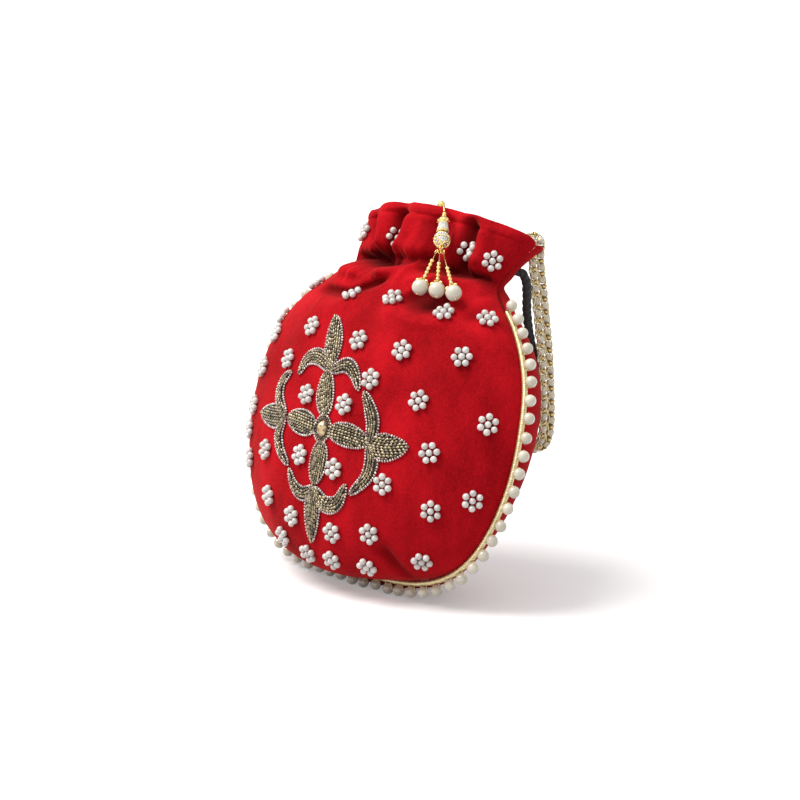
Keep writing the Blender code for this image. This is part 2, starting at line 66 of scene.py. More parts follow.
# Stations round the bag from the bottom of the seam to the rim:
# shift; edge: half width, depth, height; front middle: depth, height; back middle: depth, height
STATIONS = np.array((
    (0.0, 0.0, 0.0, -79.2, -1.4, -79.8, 1.4, -79.4),
    (0.0, 30.0, 0.0, -78.6, -14.0, -83.0, 13.0, -87.5),
    (0.0, 51.0, 0.0, -75.8, -26.0, -79.0, 26.0, -86.5),
    (0.0, 68.6, 0.0, -69.0, -34.5, -68.5, 37.0, -82.5),
    (0.0, 82.4, 0.0, -57.2, -39.5, -54.5, 44.0, -70.0),
    (0.0, 92.3, 0.0, -39.5, -42.5, -37.0, 47.0, -50.0),
    (0.0, 98.3, 0.0, -18.0, -43.5, -16.5, 48.0, -26.0),
    (0.0, 99.3, 0.0, 5.0, -43.0, 4.5, 48.0, 0.0),
    (0.0, 96.3, 0.7, 26.5, -41.0, 25.5, 46.5, 25.0),
    (0.0, 89.0, 2.0, 43.0, -37.0, 44.0, 43.0, 43.5),
    (0.5, 77.8, 4.0, 56.6, -30.0, 59.0, 38.0, 57.5),
    (1.5, 65.0, 6.5, 66.8, -21.0, 71.5, 33.0, 68.5),
    (2.5, 55.0, 9.0, 76.5, -11.0, 84.0, 29.0, 78.5),
    (3.0, 55.5, 13.0, 85.5, -8.5, 93.0, 31.0, 87.0),
    (3.5, 58.5, 17.0, 93.5, -6.0, 103.0, 37.0, 96.0),
    (4.0, 62.0, 21.0, 101.0, -4.0, 113.5, 44.0, 104.5),
))
NECK, RIM = 12, 15

# Trimmings round the seam: the cloth's edge, the braid, then the pearls beside it
CLEARANCE = 0.3
BRAID_RADIUS = 1.35
EDGE_PEARL = 6.0
EDGE_PEARL_OUT = 4.4
EDGE_PEARL_PITCH = 9.3
BRAID_OUT = CLEARANCE + BRAID_RADIUS

# The seam's middle above the floor, which the lowest pearls of the edging touch
CENTRE_HEIGHT = (BRAID_OUT + EDGE_PEARL_OUT - STATIONS[0][3]) * COS + EDGE_PEARL / 2

# Pleats of the neck and the ruffle: place across (-1 to 1), depth, width
FRONT_FOLDS = ((-0.72, 3.0, 0.10), (-0.30, 5.0, 0.13), (0.33, 5.5, 0.14), (0.80, 2.5, 0.09))
BACK_FOLDS = ((-0.62, 4.0, 0.12), (-0.20, 4.5, 0.13), (0.22, 4.0, 0.12), (0.62, 4.5, 0.13))
FOLD_START = 9.3

# How far the rim falls to the right, and at its left end; the station where the trimmings stop
RIM_DROP = 3.0
LEFT_RIM_DROP = 5.5
TRIM_END = 10.75

# Creases in the front's cloth: a run of points (across, height), width, how deep; negative stands out
FRONT_CREASES = (
    (((-43, 108), (-33, 97), (-26, 86), (-14, 76), (0, 69)), 3.4, 5.0),
    (((-30, 110), (-27, 98), (-24, 88)), 4.0, -2.2),
    (((-16, 112), (-14, 97), (-18, 81)), 4.4, 8.5),
    (((-4, 110), (-3, 97), (-7, 86)), 4.4, -3.4),
    (((16, 110), (18, 98), (17, 84)), 6.0, 3.0),
    (((37, 112), (38, 95), (37, 80)), 4.6, 8.0),
    (((48, 108), (49, 96), (47, 85)), 5.0, -3.0),
    (((60, 104), (58, 92), (55, 82)), 5.0, 1.6),
    (((-48, 84), (-30, 83), (-17, 80.5), (-1, 80.5), (9, 82)), 2.2, 6.5),
    (((12, 80), (31, 80.5), (43, 80.5), (56, 81)), 2.2, 6.5),
    (((-44, 75), (-28, 74), (-12, 74), (5, 76)), 4.2, -4.6),
    (((14, 74), (26, 75.5), (40, 75), (53, 76)), 3.6, -3.2),
    (((22, 69), (36, 63.5), (50, 65.5)), 6.5, 8.0),
    (((14, 60), (40, 53.5), (61, 55)), 4.4, -3.0),
    (((-48, 63), (-34, 61.5), (-18, 62), (-6, 67), (10, 76)), 2.8, 5.4),
    (((-40, 54), (-22, 53), (-4, 57)), 6.0, -1.8),
    (((51, 82), (57, 77), (61, 70)), 2.6, 4.6),
    (((63, 78), (67, 68), (63, 56)), 4.0, 3.2),
    (((45, -60), (50, -68), (54, -78)), 3.6, 4.0),
    (((10, 68), (14, 50), (12, 30)), 9.0, 1.3),
    (((48, 50), (56, 30), (58, 8)), 10.0, 1.2),
    (((-50, 48), (-52, 28), (-48, 6)), 9.0, 1.0),
)

# Pearl flowers on the front: across, height
FLOWERS = (
    (-45, 96), (-17, 95), (38, 93), (54, 90),
    (-59, 64), (-10, 61), (19, 62), (53, 59), (70, 60),
    (-75, 44), (-68, 34), (-26, 41), (13, 38), (42, 37), (72, 39),
    (-39, 22), (-70, 15), (30, 20), (-13, 6), (17, 5), (59, 14), (91, 9),
    (-71, -6), (-73, -19), (70, -10), (-9, -25), (18, -28), (-43, -27), (-67, -34),
    (49, -30), (89, -29), (-36, -50), (73, -38), (-12, -57), (19, -60), (42, -56),
    (65, -64), (-24, -69), (-3, -74), (15, -74), (36, -73),
)
FLOWER_PEARL = 3.55
FLOWER_RING = (3.8, 4.0)

# Bead motif on the front: the line of each shape as (across, height), and its half width
STONE_PLACE = (4.6, -9.3)
PETALS = (
    (((4.8, -2.0), (1.0, 8.3), (-1.0, 20.0)), 6.2),
    (((10.6, -9.6), (23.2, -9.9), (36.5, -11.4)), 5.8),
    (((5.8, -16.2), (5.7, -26.4), (4.4, -37.5)), 6.2),
    (((-1.4, -9.6), (-12.2, -8.4), (-25.0, -7.5)), 6.4),
)
LEAVES = (
    (((-0.2, 23.0), (-4.4, 36.4), (-10.4, 48.5)), 5.8),
    (((38.6, -12.2), (48.0, -11.8), (59.0, -9.2)), 6.8),
    (((5.2, -40.0), (4.0, -52.3), (2.7, -67.5)), 5.8),
    (((-28.0, -7.6), (-40.9, -8.6), (-56.5, -8.5)), 6.4),
)
CRESCENTS = (
    (((2.1, 20.6), (-10.6, 26.0), (-20.4, 24.0), (-24.8, 15.4)), 3.9),
    (((2.1, 20.6), (10.6, 24.6), (17.8, 21.6), (23.8, 13.6)), 3.5),
    (((37.6, -11.8), (37.4, -1.6), (33.0, 6.6), (27.7, 13.2)), 3.5),
    (((37.6, -11.8), (40.6, -19.6), (38.8, -28.8), (29.8, -38.8)), 3.6),
    (((5.2, -40.2), (-3.8, -44.2), (-11.6, -41.4), (-17.6, -33.4)), 3.3),
    (((5.2, -40.2), (13.6, -46.6), (22.2, -44.2), (26.8, -34.4)), 3.9),
    (((-29.0, -7.0), (-38.4, 1.0), (-39.2, 9.6), (-32.4, 15.8)), 3.6),
    (((-29.0, -8.2), (-32.2, -17.2), (-27.8, -25.2), (-18.8, -31.6)), 3.4),
)

# Latkan: the top of its turned beads, their ball, the rings under it and the middle drop
LATKAN_TOP = (21.6, -3.9, 110.8)
LATKAN_BALL = (30.4, -10.4, 96.3)
LATKAN_RING = (32.6, -12.4, 90.8)
BALL_RADIUS = 4.15
DROP_MIDDLE = (45.0, -21.0, 70.2)
DROP_SIDE = (0.94, 0.34, 0.0)
DROP_PITCH = 9.6
DROP_RADIUS = 4.25
STRAND_TOP_PITCH = 1.6
STRAND_BEADS = 5
STRAND_BEAD_PITCH = 2.5
KNOT_BEAD_PLACE = (13.4, 0.4, 115.3)
KNOT_BEAD_RADIUS = 2.1

# Handle band: across, back, up from the seam's middle in world directions, and its turn
BAND_ROUTE = (
    (49.8, 35.6, 78.8, 0.0), (50.8, 41.6, 88.2, 0.0), (52.4, 49.2, 95.2, 0.0), (55.6, 53.4, 96.6, 0.0),
    (57.6, 54.6, 92.4, 0.0), (57.4, 54.4, 84.0, 0.0), (61.0, 54.0, 64.0, 0.0), (65.6, 53.0, 40.0, 0.0),
    (69.2, 51.4, 16.0, 0.0), (69.2, 51.3, -2.0, 0.0), (66.0, 51.0, -11.0, 0.0), (60.0, 51.5, -13.5, 0.1),
    (54.0, 52.5, -10.0, 0.3), (48.5, 54.0, -1.0, 0.6), (38.0, 56.0, 12.0, 1.0), (18.0, 58.0, 28.0, 1.0),
    (-6.0, 59.0, 45.0, 1.0), (-30.0, 58.5, 61.0, 1.0), (-50.0, 55.5, 75.0, 0.7), (-60.0, 50.5, 86.0, 0.3),
    (-62.6, 48.5, 92.6, 0.0), (-59.0, 49.0, 98.4, 0.0), (-52.0, 48.0, 98.4, 0.0), (-46.6, 42.0, 90.8, 0.0),
    (-43.0, 36.4, 79.2, 0.0),
)
BAND_PITCH = 6.6
BAND_ROW = 2.75

# Drawstring: its run in the leaning frame, out of the neck and down the back's shoulder
CORD_ROUTE = (
    (48.6, 12.4, 81.0), (50.6, 15.9, 84.2), (52.8, 19.5, 86.8), (54.9, 22.9, 87.8), (56.7, 25.7, 86.6),
    (57.9, 27.7, 82.8), (58.4, 29.1, 77.0), (58.8, 31.1, 68.4), (59.8, 34.0, 59.0), (61.1, 37.6, 50.0),
    (62.0, 40.8, 41.0), (62.6, 42.8, 33.0), (63.0, 44.0, 27.0),
)

random.seed(7)


# Geometry helpers

def smooth(t):
    t = np.clip(t, 0.0, 1.0)
    return t * t * (3.0 - 2.0 * t)


def through(rows, t):
    """Points of the smooth curve through rows; t counts rows from 0."""
    rows = np.asarray(rows, float)
    t = np.asarray(t, float)
    last = len(rows) - 1
    i = np.clip(t.astype(int), 0, last - 1)
    f = (t - i)[..., None]
    a, b, c, d = (rows[np.clip(i + k, 0, last)] for k in (-1, 0, 1, 2))
    return 0.5 * (2 * b + (c - a) * f + (2 * a - 5 * b + 4 * c - d) * f**2 + (3 * b - a - 3 * c + d) * f**3)


def world(points, floor=None):
    """Points of the leaning frame in mm as world points in metres."""
    p = np.asarray(points, float)
    back = p[..., 1] * COS + p[..., 2] * SIN + CENTRE_BACK
    up = p[..., 2] * COS - p[..., 1] * SIN + CENTRE_HEIGHT
    if floor is not None:
        up = np.maximum(up, floor)
    return np.stack([p[..., 0], back, up], -1) * MM


def unit(v):
    v = np.asarray(v, float)
    return v / np.maximum(np.linalg.norm(v, axis=-1, keepdims=True), 1e-12)


def even(points, pitch=None, count=None):
    """Points at even distances along a line of points."""
    points = np.asarray(points, float)
    run = np.concatenate([[0.0], np.cumsum(np.linalg.norm(np.diff(points, axis=0), axis=1))])
    if count is None:
        count = max(int(round(run[-1] / pitch)) + 1, 2)
    goal = np.linspace(0, run[-1], count)
    return np.stack([np.interp(goal, run, points[:, k]) for k in range(points.shape[1])], -1)


def wave(x, seed, scale):
    """A soft random wave along x, between about -1 and 1."""
    r = np.random.RandomState(seed)
    return sum(
        np.sin(x * scale * f + r.uniform(0, 6.28)) * k
        for f, k in ((1.0, 0.5), (1.9, 0.3), (3.3, 0.2), (5.1, 0.12))
    )


def run_depth(x, h, points, width, depth):
    """A crease along a run of points, soft at its ends."""
    points = even(through(points, np.linspace(0, len(points) - 1, 40)), count=24)
    away = np.full(x.shape, 1e9)
    share = np.zeros(x.shape)
    for k in range(len(points) - 1):
        a, b = points[k], points[k + 1]
        d = b - a
        t = np.clip(((x - a[0]) * d[0] + (h - a[1]) * d[1]) / (d @ d), 0, 1)
        here = np.hypot(x - a[0] - t * d[0], h - a[1] - t * d[1])
        nearer = here < away
        away = np.where(nearer, here, away)
        share = np.where(nearer, (k + t) / (len(points) - 1), share)
    ends = smooth(share * 4.0 + 0.15) * smooth((1 - share) * 4.0 + 0.15)
    return depth * np.exp(-((away / width) ** 2)) * ends


def panel_mm(face, s, a, creased=True):
    """A panel's outer face in the leaning frame, with the creases of the cloth or without them."""
    s, a = np.broadcast_arrays(np.asarray(s, float), np.asarray(a, float))
    shift, half, edge_d, edge_h, front_d, front_h, back_d, back_h = np.moveaxis(through(STATIONS, s), -1, 0)
    across = np.sin(a * math.pi / 2)
    neck = smooth((s - 8.0) / 4.0)
    folds = FRONT_FOLDS if face == "front" else BACK_FOLDS
    fold = sum(size * np.exp(-(((across - place) / width) ** 2)) for place, size, width in folds)
    fold = fold * smooth((s - FOLD_START) / (NECK - FOLD_START))
    gather = wave(across, 3 if face == "front" else 5, 17.0) * 1.9 * np.exp(-(((s - 12.0) / 1.1) ** 2))
    line = s - 12.05 - 0.12 * wave(across, 9, 8.0)
    gather = gather + 4.2 * np.exp(-((line / 0.28) ** 2)) - 2.2 * np.exp(-(((line + 0.62) / 0.36) ** 2))
    gather = gather - 1.0 * np.exp(-(((line - 0.7) / 0.35) ** 2))
    slack = 0.5 * wave(across * 1.3 + s * 0.21, 11, 3.0) * wave(s * 0.35 + across, 12, 2.0)
    if not creased:
        gather = slack = 0.0
    if face == "front":
        bulge = np.maximum(1.0 - np.abs(across) ** 2.1, 0.0) ** (0.64 - 0.14 * neck)
        d = edge_d - 0.3 + (front_d - edge_d + 0.3) * bulge + (fold + gather + slack) * bulge
        middle_h = front_h
    else:
        full = smooth((s - 3.0) / 5.0)
        bulge = np.maximum(1.0 - np.abs(across) ** (1.9 + 0.6 * full), 0.0) ** (0.85 - 0.4 * full)
        d = edge_d + 0.3 + (back_d - edge_d - 0.3) * bulge - (fold + gather + slack) * bulge
        middle_h = back_h
    ruffle = smooth((s - NECK) / (RIM - NECK))
    rise = bulge ** (1.0 - 0.5 * ruffle)
    h = edge_h + (middle_h - edge_h) * rise - RIM_DROP * across * ruffle * rise
    h = h + 0.7 * ruffle * wave(across, 21 if face == "front" else 22, 5.0) * rise
    h = h - LEFT_RIM_DROP * smooth((-across - 0.35) / 0.5) * smooth((s - 13.0) / 2.0) * rise
    x = shift + half * across
    if face == "front" and creased:
        for points, width, depth in FRONT_CREASES:
            d = d + run_depth(x, h, points, width, depth) * np.minimum(bulge * 1.6, 1.0)
    return np.stack([x, d, h], -1)


def seam_mm(s, side, out):
    """The seam line at stations s, on the left (-1) or right (1), moved out from the cloth's edge."""
    before, after, here = (through(STATIONS, np.clip(s + k, 0, RIM)) for k in (-0.05, 0.05, 0))
    run = unit(np.stack([after[:, 1] - before[:, 1], after[:, 3] - before[:, 3]], -1))
    return np.stack(
        [here[:, 0] + side * (here[:, 1] + out * run[:, 1]), here[:, 2], here[:, 3] - out * run[:, 0]], -1
    )


def seam_line(out):
    """Points of the seam, from its right end, round the bottom, to its left end."""
    s = TRIM_END * np.linspace(1, 0, 400) ** 1.5
    return np.concatenate([seam_mm(s, 1, out), seam_mm(s, -1, out)[-2::-1]])


def placed(name, data):
    """A new object in the scene."""
    made = bpy.data.objects.new(name, data)
    bpy.context.scene.collection.objects.link(made)
    return made


class Heap:
    """Collects many small shapes into one mesh."""

    def __init__(self):
        self.verts, self.faces, self.count = [], [], 0

    def add(self, verts, faces):
        self.verts.append(np.asarray(verts, float))
        self.faces.extend([tuple(i + self.count for i in f) for f in faces])
        self.count += len(verts)

    def put(self, shape, place, axes, size=(MM, MM, MM)):
        """A unit shape at a place, turned to axes (rows x, y, z) and sized along them."""
        verts, faces = shape
        self.add((verts * np.asarray(size, float)) @ np.asarray(axes, float) + place, faces)

    def mesh(self, name, look, body, slot, replaces=(), flat=False, painted_shade=None):
        """The heap's object, with its look, the body it rides and the solids it replaces."""
        mesh = bpy.data.meshes.new(name)
        mesh.from_pydata(np.concatenate(self.verts).tolist(), [], self.faces)
        mesh.polygons.foreach_set("use_smooth", [not flat] * len(mesh.polygons))
        mesh.update()
        # a per-point painted shade, which the velvet's look turns into darker colour
        if painted_shade is not None:
            mesh.attributes.new("painted_shade", "FLOAT", "POINT").data.foreach_set("value", painted_shade)
        made = placed(name, mesh)
        mesh.materials.append(look)
        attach(made, body)
        if replaces:
            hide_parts(*replaces)
        return made


def ball(segments=16, rings=10):
    """A unit ball of radius 1 about z."""
    verts = [(0, 0, 1)]
    for i in range(1, rings):
        t = math.pi * i / rings
        for j in range(segments):
            u = 2 * math.pi * j / segments
            verts.append((math.sin(t) * math.cos(u), math.sin(t) * math.sin(u), math.cos(t)))
    verts.append((0, 0, -1))
    last = len(verts) - 1
    faces = [(0, 1 + j, 1 + (j + 1) % segments) for j in range(segments)]
    for i in range(rings - 2):
        for j in range(segments):
            a, b = 1 + i * segments + j, 1 + i * segments + (j + 1) % segments
            faces.append((a, a + segments, b + segments, b))
    base = 1 + (rings - 2) * segments
    faces += [(last, base + (j + 1) % segments, base + j) for j in range(segments)]
    return np.array(verts, float), faces


def skin(rings, sides):
    """Faces of a row of rings of points, closed at both ends."""
    faces = []
    for i in range(rings - 1):
        for j in range(sides):
            a, b = i * sides + j, i * sides + (j + 1) % sides
            faces.append((a, b, b + sides, a + sides))
    faces.append(tuple(range(sides))[::-1])
    base = (rings - 1) * sides
    faces.append(tuple(range(base, base + sides)))
    return faces


def turned(profile, segments=16, lobes=0, lobe=0.0):
    """A turned shape about z from (height, radius) pairs, closed at both ends; lobes go round it."""
    verts = []
    for z, r in profile:
        for j in range(segments):
            u = 2 * math.pi * j / segments
            k = 1 + lobe * math.cos(lobes * u) if lobes else 1
            verts.append((r * k * math.cos(u), r * k * math.sin(u), z))
    return np.array(verts, float), skin(len(profile), segments)


def torus(radius, thick, segments=20, sides=8):
    """A round ring about z."""
    verts, faces = [], []
    for i in range(segments):
        u = 2 * math.pi * i / segments
        for j in range(sides):
            v = 2 * math.pi * j / sides
            r = radius + thick * math.cos(v)
            verts.append((r * math.cos(u), r * math.sin(u), thick * math.sin(v)))
    for i in range(segments):
        for j in range(sides):
            a, b = i * sides + j, i * sides + (j + 1) % sides
            c, d = ((i + 1) % segments) * sides + (j + 1) % sides, ((i + 1) % segments) * sides + j
            faces.append((a, d, c, b))
    return np.array(verts, float), faces


def frames(points):
    """For each point of a line: ahead, side and over, without twist."""
    ahead = unit(np.gradient(points, axis=0))
    s = np.array([0.13, 1.0, 0.07])
    sides = []
    for a in ahead:
        s = s - a * (s @ a)
        s = s / max(np.linalg.norm(s), 1e-9)
        sides.append(s)
    sides = np.array(sides)
    return ahead, sides, np.cross(ahead, sides)


def tube(points, radius, sides=6):
    """A closed round tube through points; the radius may change along it."""
    p = np.asarray(points, float)
    _, side, over = frames(p)
    radius = np.broadcast_to(np.asarray(radius, float), (len(p),))
    turn = 2 * math.pi * np.arange(sides) / sides
    ring = side[:, None] * np.cos(turn)[None, :, None] + over[:, None] * np.sin(turn)[None, :, None]
    return (p[:, None] + ring * radius[:, None, None]).reshape(-1, 3), skin(len(p), sides)


def twisted(points, radius, strand, pitch, count, steps):
    """Lines of the strands twisted round a line; each runs at a radius with a pitch."""
    line = even(points, pitch / steps)
    _, side, over = frames(line)
    turn = np.arange(len(line)) / steps * 2 * math.pi
    lines = []
    for k in range(count):
        t = turn + 2 * math.pi * k / count
        lines.append(line + (side * np.cos(t)[:, None] + over * np.sin(t)[:, None]) * radius)
    return [tube(run, strand) for run in lines]


def sheet_faces(rows, columns):
    """Faces between neighbouring rows and columns of points."""
    i, j = np.meshgrid(np.arange(rows - 1), np.arange(columns - 1), indexing="ij")
    a = (i * columns + j).ravel()
    return np.stack([a, a + 1, a + columns + 1, a + columns], -1).tolist()


# Materials

def principled(name, colour, roughness, **inputs):
    made = bpy.data.materials.new(name)
    made.use_nodes = True
    shader = made.node_tree.nodes["Principled BSDF"]
    shader.inputs["Base Color"].default_value = (*colour, 1.0)
    shader.inputs["Roughness"].default_value = roughness
    for key, value in inputs.items():
        socket = shader.inputs[key.replace("_", " ")]
        socket.default_value = (*value, 1.0) if isinstance(value, tuple) else value
    return made, shader


def noise(tree, scale, detail=3.0, rough=0.5, stretch=None):
    place = tree.nodes.new("ShaderNodeTexCoord")
    made = tree.nodes.new("ShaderNodeTexNoise")
    made.inputs["Scale"].default_value = scale
    made.inputs["Detail"].default_value = detail
    made.inputs["Roughness"].default_value = rough
    source = place.outputs["Object"]
    if stretch:
        mapping = tree.nodes.new("ShaderNodeMapping")
        mapping.inputs["Scale"].default_value = stretch
        tree.links.new(source, mapping.inputs["Vector"])
        source = mapping.outputs["Vector"]
    tree.links.new(source, made.inputs["Vector"])
    return made


def ramp(tree, source, stops):
    made = tree.nodes.new("ShaderNodeValToRGB")
    while len(made.color_ramp.elements) < len(stops):
        made.color_ramp.elements.new(0.5)
    for element, (place, colour) in zip(made.color_ramp.elements, stops):
        element.position = place
        element.color = (*colour, 1.0)
    tree.links.new(source, made.inputs["Fac"])
    return made


def bump(tree, shader, source, strength, distance, below=None):
    made = tree.nodes.new("ShaderNodeBump")
    made.inputs["Strength"].default_value = strength
    made.inputs["Distance"].default_value = distance
    tree.links.new(source, made.inputs["Height"])
    if below:
        tree.links.new(below.outputs["Normal"], made.inputs["Normal"])
    tree.links.new(made.outputs["Normal"], shader.inputs["Normal"])
    return made


def velvet_look(name, deep, bright):
    """Velvet with a brushed nap, and painted shade in its colour: darker where the cloth lies deep in a
    crease.
    """
    made, shader = principled(
        name, bright, 0.9, Sheen_Weight=0.38, Sheen_Roughness=0.32, Sheen_Tint=(1.0, 0.16, 0.13),
        Specular_IOR_Level=0.08,
    )
    tree = made.node_tree
    nap = noise(tree, 34.0, 5.0, 0.62, (1.0, 1.0, 0.5))
    speck = noise(tree, 900.0, 2.0, 0.6)
    mix = tree.nodes.new("ShaderNodeMath")
    mix.operation = "MULTIPLY_ADD"
    mix.inputs[1].default_value = 0.45
    tree.links.new(speck.outputs["Fac"], mix.inputs[0])
    tree.links.new(nap.outputs["Fac"], mix.inputs[2])
    colour = ramp(tree, mix.outputs[0], ((0.52, deep), (0.88, bright)))
    # Painted shade: the colour is multiplied darker by the crease depth stored on the cloth's points, down to
    # about a quarter in the deepest creases.
    folds = tree.nodes.new("ShaderNodeAttribute")
    folds.attribute_name = "painted_shade"
    stops = ((0.0, (1.0, 1.0, 1.0)), (0.35, (0.62, 0.55, 0.55)), (1.0, (0.24, 0.16, 0.16)))
    shade = ramp(tree, folds.outputs["Fac"], stops)
    darker = tree.nodes.new("ShaderNodeMixRGB")
    darker.blend_type = "MULTIPLY"
    darker.inputs["Fac"].default_value = 1.0
    tree.links.new(colour.outputs["Color"], darker.inputs["Color1"])
    tree.links.new(shade.outputs["Color"], darker.inputs["Color2"])
    tree.links.new(darker.outputs["Color"], shader.inputs["Base Color"])
    pile = noise(tree, 1500.0, 2.0, 0.7)
    soft = noise(tree, 70.0, 3.0, 0.5)
    first = bump(tree, shader, soft.outputs["Fac"], 0.25, 0.0015)
    bump(tree, shader, pile.outputs["Fac"], 0.5, 0.0004, first)
    return made


def island_look(name, first, second, roughness, **inputs):
    """A look that differs a little from bead to bead."""
    made, shader = principled(name, first, roughness, **inputs)
    tree = made.node_tree
    info = tree.nodes.new("ShaderNodeNewGeometry")
    colour = ramp(tree, info.outputs["Random Per Island"], ((0.0, first), (1.0, second)))
    tree.links.new(colour.outputs["Color"], shader.inputs["Base Color"])
    return made


def stone_look():
    """A golden stone with painted reflections: small cells of dark brown to light gold in its colour stand in
    for the light on its facets.
    """
    made, shader = principled(
        "golden_stone", (0.4, 0.25, 0.08), 0.12, Metallic=0.3, Coat_Weight=0.8, Coat_Roughness=0.03
    )
    tree = made.node_tree
    cells = tree.nodes.new("ShaderNodeTexVoronoi")
    cells.inputs["Scale"].default_value = 420.0
    place = tree.nodes.new("ShaderNodeTexCoord")
    tree.links.new(place.outputs["Object"], cells.inputs["Vector"])
    split = tree.nodes.new("ShaderNodeSeparateColor")
    tree.links.new(cells.outputs["Color"], split.inputs["Color"])
    # Painted reflections: the cells' colours run from dark brown to light gold, as facets would catch the
    # light.
    stops = ((0.1, (0.10, 0.05, 0.015)), (0.6, (0.42, 0.26, 0.08)), (1.0, (0.75, 0.58, 0.30)))
    colour = ramp(tree, split.outputs["Red"], stops)
    tree.links.new(colour.outputs["Color"], shader.inputs["Base Color"])
    return made


VELVET = velvet_look("velvet_red", (0.27, 0.001, 0.004), (0.55, 0.005, 0.012))
LINING, _ = principled("lining_red", (0.22, 0.008, 0.012), 0.42, Sheen_Weight=0.2)
WHITE_PEARL = island_look(
    "white_pearl", (0.58, 0.54, 0.51), (0.76, 0.72, 0.69), 0.26, Coat_Weight=0.9, Coat_Roughness=0.1
)
CREAM_PEARL = island_look(
    "cream_pearl", (0.58, 0.525, 0.41), (0.73, 0.68, 0.55), 0.24, Coat_Weight=0.9, Coat_Roughness=0.09
)
GOLD, _ = principled("gold", (0.80, 0.60, 0.24), 0.24, Metallic=1.0)
OLD_GOLD, _ = principled("old_gold", (0.60, 0.42, 0.17), 0.3, Metallic=0.9)
GOLD_THREAD = island_look("gold_thread", (0.62, 0.52, 0.28), (0.74, 0.64, 0.38), 0.36, Metallic=0.75)
BROWN_THREAD, _ = principled("brown_thread", (0.20, 0.12, 0.06), 0.6)
BUGLE = island_look(
    "bugle_bead", (0.07, 0.05, 0.03), (0.40, 0.33, 0.20), 0.22, Metallic=0.75, Coat_Weight=0.4
)
SILVER_BEAD = island_look(
    "silver_bead", (0.26, 0.18, 0.17), (0.66, 0.56, 0.54), 0.18, Metallic=0.6, Coat_Weight=0.5
)
PAD, _ = principled("motif_ground", (0.05, 0.032, 0.022), 0.7)
STONE = stone_look()
WHITE_SEED = island_look("white_seed_bead", (0.70, 0.68, 0.60), (0.86, 0.85, 0.80), 0.2, Coat_Weight=0.5)
CRYSTAL = island_look("crystal", (0.55, 0.53, 0.48), (0.95, 0.94, 0.90), 0.08, Metallic=0.55, Coat_Weight=1.0)
PEACH, _ = principled("peach_thread", (0.62, 0.40, 0.28), 0.6)
BLACK, _ = principled("black_cord", (0.008, 0.008, 0.009), 0.75, Sheen_Weight=0.3)


# Cloth

COLUMNS, ROWS = 220, 250
HEM_ROWS, INSIDE_ROWS = 6, 40
HEM = 1.1
HEM_START = 14.5
HEM_SWELL = 0.8
STITCH_STATION = 14.48
STITCH_DEPTH = 0.9
# Crease depth in mm at which the painted shade in the velvet's colour is darkest.
DARKEST_FOLD = 7.0
LINING_START, LINING_END = 0.6, 11.2
LINING_SHARE = 0.94


def velvet(name, face, node_name, side):
    """A panel's cloth: the outer face up to the rim, over the hem and down the ruffle's inside.

    Gives the points and the faces of its outer face.
    """
    a = np.linspace(-1, 1, COLUMNS) * side
    s = RIM * np.linspace(0, 1, ROWS)[:, None]
    outer = panel_mm(face, s, a[None, :])
    way = -1.0 if face == "front" else 1.0
    depth = (outer - panel_mm(face, s, a[None, :], False))[..., 1] * -way
    inner = panel_mm(face, np.linspace(RIM, NECK - 1.2, INSIDE_ROWS)[:, None], a[None, :])

    flat = np.cos(np.linspace(-1, 1, COLUMNS) * math.pi / 2) ** 0.3
    stitch = np.exp(-(((s - STITCH_STATION) / 0.06) ** 2)) * (0.75 + 0.25 * np.sin(a * 330.0)[None, :])
    swell = np.sin(math.pi * np.clip((s - HEM_START) / (RIM - HEM_START), 0, 1)) ** 0.7
    outer[..., 1] -= way * STITCH_DEPTH * stitch * flat
    outer[..., 1] += way * HEM_SWELL * swell * flat
    inner[..., 1] -= way * 2 * HEM * flat
    rolled = []
    for k in range(1, HEM_ROWS):
        t = math.pi * k / HEM_ROWS
        row = outer[-1].copy()
        row[:, 1] -= way * HEM * (1 - math.cos(t)) * flat
        row[:, 2] += HEM * math.sin(t) * 0.9
        rolled.append(row)

    # Painted shade for the velvet's colour: deeper creases darker, the hem half as dark as the row below it,
    # the ruffle's inside a fixed dark shade.
    painted_shade = np.clip(depth / DARKEST_FOLD, -0.3, 1.0)
    hem_painted_shade = np.repeat(painted_shade[-1:] * 0.5, HEM_ROWS - 1, 0)
    painted_shade = np.concatenate([painted_shade, hem_painted_shade, np.full(inner.shape[:2], 0.6)])
    points = np.concatenate([outer, np.array(rolled), inner])
    heap = Heap()
    heap.add(world(points.reshape(-1, 3), 0.0), sheet_faces(len(points), COLUMNS))
    heap.mesh(name, VELVET, "bag", "velvet", (node_name,), painted_shade=painted_shade.ravel())
    return world(outer.reshape(-1, 3), 0.0), sheet_faces(ROWS, COLUMNS)


front_points, front_faces = velvet("velvet_front", "front", "front_panel", 1)
velvet("velvet_back", "back", "back_panel", -1)
CLOTH = BVHTree.FromPolygons([Vector(p) for p in front_points], front_faces)
INTO = Vector((0.0, COS, -SIN))


def on_cloth(x, h):
    """The point of the front's cloth at (across, height), and the way out of it."""
    start = Vector(world((x, -90.0, h)))
    hit, normal, _, _ = CLOTH.ray_cast(start, INTO)
    if hit is None:
        hit, normal, _, _ = CLOTH.find_nearest(start + INTO * 0.08)
    if normal.dot(INTO) > 0:
        normal = -normal
    return np.array(hit), np.array(normal)


def seat(x, h, reach):
    """Where a flat thing sits at (across, height): its middle, and its right, up and out."""
    middle, out = on_cloth(x, h)
    for k in range(8):
        t = k * math.pi / 4
        out = out + on_cloth(x + reach * math.cos(t), h + reach * math.sin(t))[1]
    out = unit(out)
    right = unit(np.array([1.0, 0, 0]) - out * out[0])
    return middle, right, np.cross(out, right), out


def drop(point, out, reach=4.0):
    """The point moved along out until it lies on the cloth."""
    hit, _, _, _ = CLOTH.ray_cast(Vector(point + out * reach * MM), Vector(-out), 2 * reach * MM)
    return np.array(hit) if hit is not None else point


